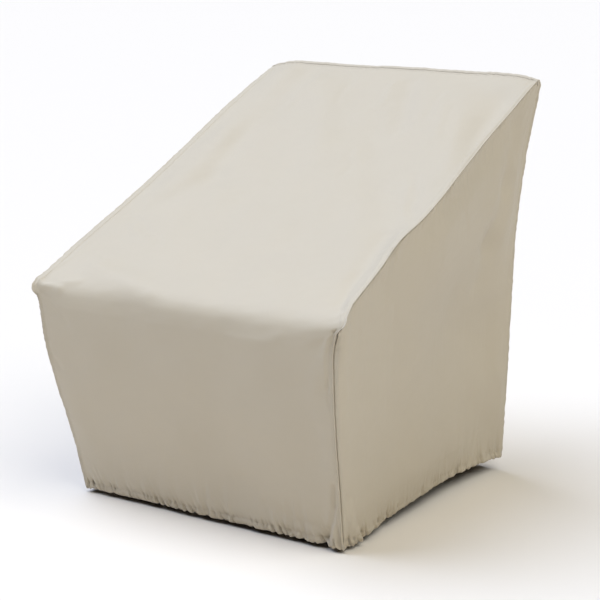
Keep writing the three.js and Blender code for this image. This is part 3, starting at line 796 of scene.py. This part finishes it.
class Side:
    """A side panel: a patch stretched between the front, top and back seams, with its hem open below"""

    def __init__(self, side):
        self.side, self.outward = side, side_facing(side)
        _, outward, across, offset = seam_points(side)
        corner = ROWS.corner_line(side) + offset
        front = np.arange(ROWS.tip + 1)
        top = np.arange(ROWS.tip, ROWS.back_corner + 1)
        back = np.arange(ROWS.last, ROWS.back_corner - 1, -1)
        self.lines = [corner[part] for part in (front, top, back)]
        self.shares = [run_length(part) / run_length(part)[-1] for part in self.lines]
        tuck = across * SIDE_EDGE.across + outward * (SIDE_EDGE.out * seam_gap(side, ROWS.along))[:, None]
        self.tucks = [tuck[part] for part in (front, top, back)]
        self.front_tuck = ROWS.seam_tuck(side)[front]
        self.front_normal = ROWS.normal[front]
        self.top_along = ROWS.along[top]
        self.hem_run = np.linalg.norm(self.lines[2][0] - self.lines[0][0])

    def read(self, values, line, at):
        """Values kept for each row of a seam, read at shares of the way along it"""
        reader = np.interp if values.ndim == 1 else read_line
        return reader(at, self.shares[line], values)

    def plain(self, across, up):
        """Points of the patch, their distances from its front, top and back seams and their heights over its
        hem, and how far they turn round the front corner"""
        ways = (up, across, up)
        front, top, back = (self.read(line, k, at) for k, (line, at) in enumerate(zip(self.lines, ways)))
        a, b = across[:, None], up[:, None, None]
        (hem_front, top_front), (hem_back, top_back) = (self.lines[k][[0, -1]] for k in (0, 2))
        hem = hem_front * (1 - a) + hem_back * a
        chord = top_front * (1 - a) + top_back * a
        points = front[:, None] * (1 - a) + back[:, None] * a + (top - chord) * b
        to_front = np.linalg.norm(points - front[:, None], axis=-1)
        turn = 1 - np.minimum(1, to_front / CORNER_ROUND)
        tuck = self.read(self.front_tuck, 0, up)[:, None]
        points[..., 0] -= self.side * tuck * (1 - np.sqrt(1 - turn**2))
        to_top = np.linalg.norm(points - top[None], axis=-1)
        to_back = np.linalg.norm(points - back[:, None], axis=-1)
        return points, (to_front, to_top, to_back), up[:, None] * np.linalg.norm(top - hem, axis=-1), turn

    def relief(self, points, across, up, away, height):
        """How far the cloth stands out from the plain patch, and how far it is lifted"""
        to_front, to_top, to_back = away
        y, z = points[..., 1], points[..., 2]
        to_edge = np.minimum(np.minimum(to_front, to_top), to_back)
        depth = sizes().fold_depth
        seed = 11 if self.side > 0 else 17
        slack = depth * fold_relief(SIDE_FOLDS, y, z) + cloth_relief(y, z, seed)
        relief = smooth(to_edge, 0, SIDE_FADE) * slack
        relief += smooth(to_edge, 0, BILLOW_FADE) * depth * fold_relief(SIDE_BILLOW, y, z)
        creases = crease_relief(SIDE_CREASES, y, z, sway=6, seed=seed + 4)
        relief += smooth(to_edge, *CREASE_FADE) * depth * creases
        along_top = self.read(self.top_along, 1, across)[None]
        gain = slope_gain(along_top) if self.side > 0 else 1
        relief += 1.35 * gain * pucker_relief(to_top, along_top, reach=24, seed=seed + 6)
        level = up[:, None] * self.lines[2][-1][2]
        front_puckers = pucker_relief(to_front, level, reach=12, seed=seed + 7)
        relief += front_puckers + pucker_relief(to_back, level, reach=14, seed=seed + 8)
        run = (across if self.side > 0 else 1 - across)[None] * self.hem_run
        pull = np.maximum(0, 1 - up[:, None] / HEM_PULL_REACH) ** 2
        arch = np.sin(math.pi * across[None] ** HEM_ARCH_SKEW) * pull
        hem = (run, height, np.minimum(to_front, to_back), seed + 9)
        return relief + hem_relief(*hem) - HEM_PULL * arch, hem_scallop(*hem) + HEM_LIFT * arch

    def cloth(self, across, up):
        """Points of the side's cloth, with its places when cut flat"""
        points, away, height, turn = self.plain(across, up)
        flat = points[..., 1:].copy()
        relief, lift = self.relief(points, across, up, away, height)
        wrap = (front_wrap(self.read(self.front_tuck, 0, up))[:, None] * turn**2)[..., None]
        normal = unit(self.outward * (1 - wrap) + self.read(self.front_normal, 0, up)[:, None] * wrap)
        points = points + normal * relief[..., None]
        points[..., 2] += lift
        reaches = (FRONT_VALLEY_MM, SEAM_VALLEY_MM, SEAM_VALLEY_MM)
        weights = [bell(distance, 0, reach) for distance, reach in zip(away, reaches)]
        share = np.maximum(1, sum(weights))
        for k, at in enumerate((up, across, up)):
            tuck = self.read(self.tucks[k], k, at)
            tuck = tuck[None] if k == 1 else tuck[:, None]
            points = points + tuck * (weights[k] / share)[..., None]
        return points, flat


def side_columns():
    """Shares of the way back along a side, closer together round the front corner and at the back seam"""
    turn = np.linspace(0, math.pi / 2, SIDE_EDGE_STEPS + 1)
    start = CORNER_ROUND * (1 - np.cos(turn))
    end = SIDE_DEPTH - np.linspace(SIDE_EDGE_MM, 0, SIDE_EDGE_STEPS + 1)
    middle = np.linspace(start[-1], end[0], SIDE_MIDDLE_STEPS + 1)
    return np.concatenate([start, middle[1:-1], end]) / SIDE_DEPTH


def side_cloth(side):
    panel = Side(side)
    cloth = Cloth()
    across = side_columns()
    hem_up = np.linspace(0, SIDE_HEM_SHARE, HEM_ROWS)
    upper = 1 - (1 - SIDE_HEM_SHARE) * np.linspace(1, 0, SIDE_ROWS) ** SIDE_ROW_SKEW
    for places, up, hem in ((cut_finer(across), hem_up, True), (across, upper[1:], False)):
        points, flat = panel.cloth(places, up)
        if side < 0:
            points, flat, places = points[:, ::-1], flat[:, ::-1] * [-1, 1], 1 - places[::-1]
        if hem:
            inward = np.broadcast_to(-panel.outward, points.shape)
            rows, below = turned_in(points, flat, inward, np.array([0.0, 0.0, -1.0]))
            cloth.add(rows, below, places)
        cloth.add(points, flat, places)
    return cloth


# Meshes

def to_frame(points):
    return (points - HANG_POINT) * MM


def new_piece(name, points, faces, finishes):
    """A smooth mesh of its own on the cover's one body and its materials"""
    mesh = bpy.data.meshes.new(name)
    mesh.from_pydata(to_frame(points).tolist(), [], faces)
    for finish in finishes:
        mesh.materials.append(made_material(finish))
    piece = bpy.data.objects.new(name, mesh)
    bpy.context.scene.collection.objects.link(piece)
    bpy.ops.object.select_all(action="DESELECT")
    piece.select_set(True)
    bpy.context.view_layer.objects.active = piece
    bpy.ops.object.shade_smooth()
    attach(piece, "root")
    return piece


def sewn_cloth(name, cloth):
    """One sheet of cloth with its thickness, its face and the coating of its inner side"""
    finishes = [woven_polyester, polyurethane_coating]
    piece = new_piece(name, np.concatenate(cloth.points), cloth.faces(), finishes)
    mesh = piece.data
    corner_of = np.empty(len(mesh.loops), np.int32)
    mesh.loops.foreach_get("vertex_index", corner_of)
    layer = mesh.uv_layers.new(name="flat")
    layer.data.foreach_set("uv", (np.concatenate(cloth.flat)[corner_of] * MM).astype(np.float32).ravel())
    thickness = piece.modifiers.new("thickness", "SOLIDIFY")
    thickness.thickness = sizes().cloth_mm * MM
    thickness.offset = -1
    thickness.material_offset = 1
    bpy.ops.object.modifier_apply(modifier=thickness.name)
    return piece


# Where a stitch is cut across, in shares of its length, how thin its ends are, and how far they sink and the
# whole stitch is raised, in shares of the thread's radius
STITCH_SIDES, STITCH_CUTS = 6, (-0.3, 0.3)
END_TAPER, END_SINK, STITCH_RAISE = 0.6, 1.1, 0.55


def model_stitch():
    """One stitch, lying along X: a short length of thread, raised in the middle and sunk at its ends"""
    radius, length = sizes().thread_mm / 2, sizes().stitch_mm
    bpy.ops.object.select_all(action="DESELECT")
    bpy.ops.mesh.primitive_cylinder_add(
        vertices=STITCH_SIDES, radius=radius * MM, depth=length * MM, rotation=(0, math.pi / 2, 0)
    )
    stitch = bpy.context.active_object
    bpy.ops.object.transform_apply(location=False, rotation=True, scale=False)
    bpy.ops.object.mode_set(mode="EDIT")
    for place in STITCH_CUTS:
        bpy.ops.mesh.select_all(action="SELECT")
        bpy.ops.mesh.bisect(plane_co=(place * length * MM, 0, 0), plane_no=(1, 0, 0))
    bpy.ops.object.mode_set(mode="OBJECT")
    points = np.array([v.co for v in stitch.data.vertices]) / MM
    end = np.abs(points[:, 0]) > 0.45 * length
    points[end, 1:] *= END_TAPER
    points[end, 2] -= END_SINK * radius
    points[:, 2] += STITCH_RAISE * radius
    faces = [list(f.vertices) for f in stitch.data.polygons]
    mesh = stitch.data
    bpy.data.objects.remove(stitch)
    bpy.data.meshes.remove(mesh)
    return points, faces


def sewn_thread(name, lines):
    """Rows of stitches as one piece, where each line has its points and the directions out of the cloth"""
    shape, shape_faces = model_stitch()
    pitch = sizes().stitch_mm + sizes().stitch_gap_mm
    points, faces = [], []
    for line, outward in lines:
        lengths = run_length(line)
        for start in np.arange(pitch / 2, lengths[-1] - pitch / 2, pitch):
            ends = np.array([start - pitch / 3, start, start + pitch / 3])
            near = read_line(ends, lengths, line)
            out = unit(read_line(start, lengths, outward))
            run = unit(near[2] - near[0])
            aside = unit(np.cross(out, run))
            faces += [[len(points) * len(shape) + v for v in face] for face in shape_faces]
            points.append(near[1] + shape @ np.stack([run, aside, np.cross(run, aside)]))
    return new_piece(name, np.concatenate(points), faces, [spun_polyester_thread])


def strip_stitches(side, in_from_seam, first, last, top_seam_side):
    """A row of stitches along the strip, beside one of its seams"""
    row = np.arange(first, last + 1)
    u = side * (1 - in_from_seam / ROWS.half[row])[:, None]
    return strip_cloth(row, u, top_seam_side)[:, 0], ROWS.normal[row]


def across_stitches(along, top_seam_side):
    """A row of stitches straight across the strip, on the row nearest to that place along it"""
    row = int(np.argmin(np.abs(ROWS.along - along)))
    line = strip_cloth(np.array([row]), np.linspace(-0.985, 0.985, 240), top_seam_side)[0]
    return line, np.broadcast_to(ROWS.normal[row], line.shape)


def seat_stitches():
    """Both rows of the topstitching beside each seam, the wide one on the slope, and the row of the casing"""
    wide, narrow = (band - BAND_ROW_MM for band in (sizes().band_mm, sizes().narrow_band_mm))
    last, tip = ROWS.top_seam, ROWS.tip
    rows = [(SEAM_ROW_MM, 4, last - 2), (wide, tip + 6, last - 4), (narrow, 4, tip - 4)]
    lines = [strip_stitches(side, *row, 1) for side in (-1, 1) for row in rows]
    top, casing = ROWS.along[last], ROWS.along[0] + sizes().casing_mm
    return lines + [across_stitches(along, 1) for along in (top - SEAM_ROW_MM, top - narrow, casing)]


def back_stitches():
    rows = (SEAM_ROW_MM, sizes().narrow_band_mm - BAND_ROW_MM)
    first, last = ROWS.top_seam + 2, ROWS.last - 4
    lines = [strip_stitches(side, row, first, last, -1) for side in (-1, 1) for row in rows]
    return lines + [across_stitches(ROWS.along[-1] - sizes().casing_mm, -1)]


def side_hem_stitches(side):
    """The casing's row of stitches round a side, at one height above its edge"""
    panel = Side(side)
    points, _ = panel.cloth(np.linspace(0.012, 0.988, 260), np.linspace(0, SIDE_HEM_SHARE, HEM_ROWS))
    height = np.linalg.norm(points - points[0], axis=-1)
    columns = range(points.shape[1])
    line = np.stack([read_line(sizes().casing_mm, height[:, c], points[:, c]) for c in columns])
    return [(line, np.broadcast_to(panel.outward, line.shape))]


def sew_panel(name, cloth, stitches):
    """One panel: its cloth in place of the solid and the thread that sews it"""
    piece = sewn_cloth(name.format("cloth"), cloth)
    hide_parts(name.format("panel"))
    thread = sewn_thread(name.format("stitching"), stitches)


# Materials

def add_node(tree, kind, **values):
    """Add a shader node. Each value is for one of its settings or inputs, and an output becomes a link."""
    node = tree.nodes.new("ShaderNode" + kind)
    for name, value in values.items():
        if hasattr(node, name):
            setattr(node, name, value)
        elif isinstance(value, bpy.types.NodeSocket):
            tree.links.new(value, node.inputs[name.replace("_", " ")])
        else:
            node.inputs[name.replace("_", " ")].default_value = value
    return node


def made_material(finish):
    """The material that the finish describes, named after it and made once"""
    material = bpy.data.materials.get(finish.__name__)
    if not material:
        material = bpy.data.materials.new(finish.__name__)
        material.use_nodes = True
        tree = material.node_tree
        tree.nodes.clear()
        add_node(tree, "OutputMaterial", Surface=finish(tree).outputs["BSDF"])
    return material


def tones(colour, *shares):
    """The colour at each of those shares of its brightness"""
    return [[part * share for part in colour] + [1] for share in shares]


# Sizes of the patterns, in millimetres. The threads of the cloth are 0.6 mm apart, and are drawn coarser, at
# 1.6 mm, because finer ones don't show. The twist of the thread is as fine as a real one's.
WEAVE_PITCH, CRUMPLE_PITCH, SHADE_PITCH, SMEAR_PITCH, TWIST_PITCH = 1.6, 14.0, 120.0, 40, 0.5
# A Wave texture repeats this many times in one unit at a scale of 1
WAVES_A_UNIT = 20 / (2 * math.pi)


def plain_weave(tree):
    """Height of a plain weave from 0 to 1, on the cloth's own flat places"""
    flat = add_node(tree, "UVMap", uv_map="flat").outputs["UV"]
    scale = 1 / (WEAVE_PITCH * MM)
    warp, weft = (
        add_node(
            tree, "TexWave", wave_type="BANDS", bands_direction=way, Scale=scale / WAVES_A_UNIT, Vector=flat
        ).outputs["Fac"]
        for way in "XY"
    )
    over = add_node(tree, "TexChecker", Scale=scale, Vector=flat).outputs["Fac"]
    return add_node(tree, "Mix", data_type="FLOAT", Factor=over, A=warp, B=weft).outputs["Result"]


def woven_polyester(tree):
    """Solution-dyed polyester in a plain weave: matt and even, with the faint sheen of its smooth filaments,
    a little uneven in shade where it has creased, finely crumpled, and with painted shade in the low places
    of its weave"""
    place = add_node(tree, "TexCoord").outputs["Object"]
    shade = add_node(
        tree, "TexNoise", Scale=1 / (SHADE_PITCH * MM), Detail=4.0, Roughness=0.55, Vector=place
    ).outputs["Fac"]
    crumple = add_node(
        tree, "TexNoise", Scale=1 / (CRUMPLE_PITCH * MM), Detail=3.0, Roughness=0.5, Vector=place
    ).outputs["Fac"]
    weave = plain_weave(tree)
    # The third tone is painted shade, for the hollows of the weave
    dark, light, weave_hollow_shade = tones(colours().cloth, 0.95, 1.05, 0.93)
    cloudy = add_node(tree, "Mix", data_type="RGBA", A=dark, B=light, Factor=shade).outputs["Result"]
    # Painted shade: the cloth's colour darkens where the weave is low
    cloth_with_hollow_shade = add_node(tree, "Mix", data_type="RGBA", A=weave_hollow_shade, B=cloudy, Factor=weave).outputs["Result"]
    rough = add_node(tree, "MapRange", To_Min=0.56, To_Max=0.7, Value=shade).outputs["Result"]
    soft = add_node(tree, "Bump", Strength=0.35, Distance=0.4 * MM, Height=crumple).outputs["Normal"]
    grain = add_node(tree, "Bump", Strength=0.3, Distance=0.12 * MM, Height=weave, Normal=soft)
    return add_node(
        tree,
        "BsdfPrincipled",
        IOR=1.5,
        Specular_IOR_Level=0.3,
        Sheen_Weight=0.12,
        Sheen_Roughness=0.45,
        Base_Color=cloth_with_hollow_shade,
        Roughness=rough,
        Normal=grain.outputs["Normal"],
    )


def polyurethane_coating(tree):
    """Polyurethane coat rolled on the inner face: smoother than the face, a little glossy, with the weave
    showing faintly through it"""
    place = add_node(tree, "TexCoord").outputs["Object"]
    smear = add_node(tree, "TexNoise", Scale=1 / (SMEAR_PITCH * MM), Detail=3.0, Vector=place).outputs["Fac"]
    gloss = add_node(tree, "MapRange", To_Min=0.34, To_Max=0.48, Value=smear).outputs["Result"]
    weave = plain_weave(tree)
    dark, light = tones(colours().coating, 0.96, 1.04)
    base = add_node(tree, "Mix", data_type="RGBA", A=dark, B=light, Factor=smear).outputs["Result"]
    grain = add_node(tree, "Bump", Strength=0.2, Distance=0.08 * MM, Height=weave).outputs["Normal"]
    return add_node(tree, "BsdfPrincipled", IOR=1.5, Base_Color=base, Roughness=gloss, Normal=grain)


def spun_polyester_thread(tree):
    """Spun polyester sewing thread: matt, with a slightly fuzzy twist"""
    place = add_node(tree, "TexCoord").outputs["Object"]
    twist = add_node(tree, "TexNoise", Scale=1 / (TWIST_PITCH * MM), Detail=1.0, Vector=place).outputs["Fac"]
    dark, light = tones(colours().thread, 0.85, 1.08)
    base = add_node(tree, "Mix", data_type="RGBA", A=dark, B=light, Factor=twist).outputs["Result"]
    return add_node(tree, "BsdfPrincipled", Roughness=0.8, IOR=1.5, Sheen_Weight=0.2, Base_Color=base)


def matt_floor_paint(tree):
    """Matt white paint, rolled: even, without shine"""
    colour = [*colours().floor, 1]
    return add_node(tree, "BsdfPrincipled", Base_Color=colour, Roughness=0.9, Specular_IOR_Level=0.1)


# The stage

FLOOR_SPAN = 80.0
# Soft lights, each as wide as a large diffuser: degrees round the cover and from overhead, degrees of spread,
# strength and colour. The cool one is the key and the warm one fills the other side.
SoftLight = namedtuple("SoftLight", "name turn tilt spread strength colour")
SOFT_LIGHTS = [
    SoftLight("cool", -75, 30, 56, 3.5, "DAE6FF"),
    SoftLight("warm", 80, 32, 50, 1.8, "FFFFFA"),
]
SURROUND_COLOUR, SURROUND_STRENGTH = "FFEEDA", 0.04


def lay_floor():
    bpy.ops.object.select_all(action="DESELECT")
    bpy.ops.mesh.primitive_plane_add(size=FLOOR_SPAN, location=(0, 0, -HANG_POINT[2] * MM))
    floor = bpy.context.active_object
    floor.name = "floor"
    floor.data.materials.append(made_material(matt_floor_paint))


def light_stage(scene):
    """Two broad soft lights, and a weak even glow all round that is white to the camera"""
    for soft in SOFT_LIGHTS:
        turned = (math.radians(soft.tilt), 0, math.radians(soft.turn))
        bpy.ops.object.light_add(type="SUN", rotation=turned, location=(0, 0, 3))
        bpy.context.active_object.name = soft.name
        light = bpy.context.active_object.data
        light.energy = soft.strength
        light.angle = math.radians(soft.spread)
        light.color = linear(soft.colour)
    world = bpy.data.worlds.new("studio")
    scene.world = world
    world.use_nodes = True
    tree = world.node_tree
    tree.nodes.clear()
    glow = add_node(tree, "Background", Color=[*linear(SURROUND_COLOUR), 1], Strength=SURROUND_STRENGTH)
    white = add_node(tree, "Background", Color=(1, 1, 1, 1), Strength=1.0)
    mixed = add_node(tree, "MixShader", Fac=add_node(tree, "LightPath").outputs["Is Camera Ray"])
    for place, shader in ((1, glow), (2, white)):
        tree.links.new(shader.outputs[0], mixed.inputs[place])
    add_node(tree, "OutputWorld", Surface=mixed.outputs[0])
    scene.view_settings.view_transform = "Standard"


def set_camera(scene):
    turn, rise = math.radians(CAMERA_TURN), math.radians(CAMERA_RISE)
    back = Vector((math.sin(turn) * math.cos(rise), -math.cos(turn) * math.cos(rise), math.sin(rise)))
    target = Vector(to_frame(np.array(CAMERA_TARGET)))
    bpy.ops.object.camera_add(location=target + back * CAMERA_REACH * MM)
    camera = bpy.context.active_object
    camera.rotation_euler = (-back).to_track_quat("-Z", "Y").to_euler()
    camera.data.lens = LENS_MM
    camera.data.sensor_width = SENSOR_MM
    camera.data.clip_end = FLOOR_SPAN
    scene.camera = camera


# Operators

class COVER_OT_seat_panel(bpy.types.Operator):
    """Sew the front, nose and slope from one length of cloth"""

    bl_idname = "cover.seat_panel"
    bl_label = "Seat panel"

    def execute(self, context):
        sew_panel("seat_{}", seat_cloth(), seat_stitches())
        return {"FINISHED"}


class COVER_OT_side_panels(bpy.types.Operator):
    """Sew in the two side panels"""

    bl_idname = "cover.side_panels"
    bl_label = "Side panels"

    def execute(self, context):
        for side, word in ((1, "right"), (-1, "left")):
            sew_panel("side_{}_" + word, side_cloth(side), side_hem_stitches(side))
        return {"FINISHED"}


class COVER_OT_back_panel(bpy.types.Operator):
    """Sew on the back panel, from the top seam to the back hem"""

    bl_idname = "cover.back_panel"
    bl_label = "Back panel"

    def execute(self, context):
        sew_panel("back_{}", back_cloth(), back_stitches())
        return {"FINISHED"}


class COVER_OT_stage(bpy.types.Operator):
    """Lay the floor, light it softly from above and set the camera"""

    bl_idname = "cover.stage"
    bl_label = "Stage"

    def execute(self, context):
        lay_floor()
        light_stage(context.scene)
        set_camera(context.scene)
        return {"FINISHED"}


class COVER_PT_panel(bpy.types.Panel):
    """The cover's pieces, sizes and colours"""

    bl_idname = "COVER_PT_panel"
    bl_label = "Fitted cover"
    bl_space_type = "VIEW_3D"
    bl_region_type = "UI"
    bl_category = "Cover"

    def draw(self, context):
        for operator in OPERATORS:
            self.layout.operator(operator.bl_idname)
        for group in (context.scene.cover_sizes, context.scene.cover_colours):
            box = self.layout.box()
            for name in group.__annotations__:
                box.prop(group, name)


OPERATORS = [COVER_OT_seat_panel, COVER_OT_side_panels, COVER_OT_back_panel, COVER_OT_stage]
CLASSES = [CoverSizes, CoverColours, *OPERATORS, COVER_PT_panel]


def register():
    for cls in CLASSES:
        bpy.utils.register_class(cls)
    bpy.types.Scene.cover_sizes = PointerProperty(type=CoverSizes)
    bpy.types.Scene.cover_colours = PointerProperty(type=CoverColours)


def unregister():
    del bpy.types.Scene.cover_colours
    del bpy.types.Scene.cover_sizes
    for cls in reversed(CLASSES):
        bpy.utils.unregister_class(cls)


def write_sizes():
    """Bring the scene's view layer up to date"""
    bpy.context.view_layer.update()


def main():
    register()
    bpy.ops.cover.seat_panel()
    bpy.ops.cover.side_panels()
    bpy.ops.cover.back_panel()
    bpy.ops.cover.stage()
    write_sizes()


if __name__ == "__main__":
    main()
